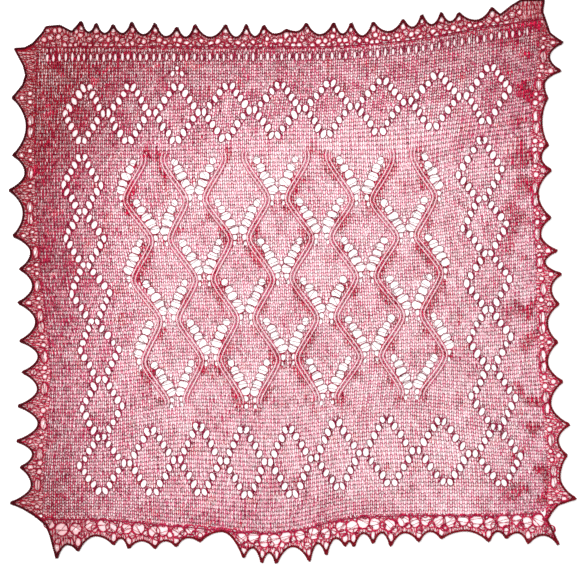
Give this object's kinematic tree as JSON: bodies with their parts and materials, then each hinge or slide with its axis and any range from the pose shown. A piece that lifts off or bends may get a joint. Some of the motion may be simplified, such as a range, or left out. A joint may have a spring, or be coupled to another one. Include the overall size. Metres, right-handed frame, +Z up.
{
  "type": "lace shawl",
  "caption": "square hand-knitted lace shawl laid flat: a stockinette field with a diamond eyelet frame and a lattice of lace vees, and a knitted-on edging with picot points on each side",
  "frame": {"origin": "centre of the bounding box of the shawl laid flat, on its underside", "axes": "+Z up out of the cloth, +Y towards the top edging, +X to the right as seen from above"},
  "size_m": [0.904, 0.9004, 0.0032],
  "materials": {
    "field_yarn": "fine wool lace knit, rose fading from crimson",
    "edging_yarn": "fine wool lace knit, dark crimson"
  },
  "bodies": {
    "root": {"field": "field_yarn", "edging_top": "edging_yarn", "edging_bottom": "edging_yarn", "edging_left": "edging_yarn", "edging_right": "edging_yarn"}
  },
  "joints": []
}
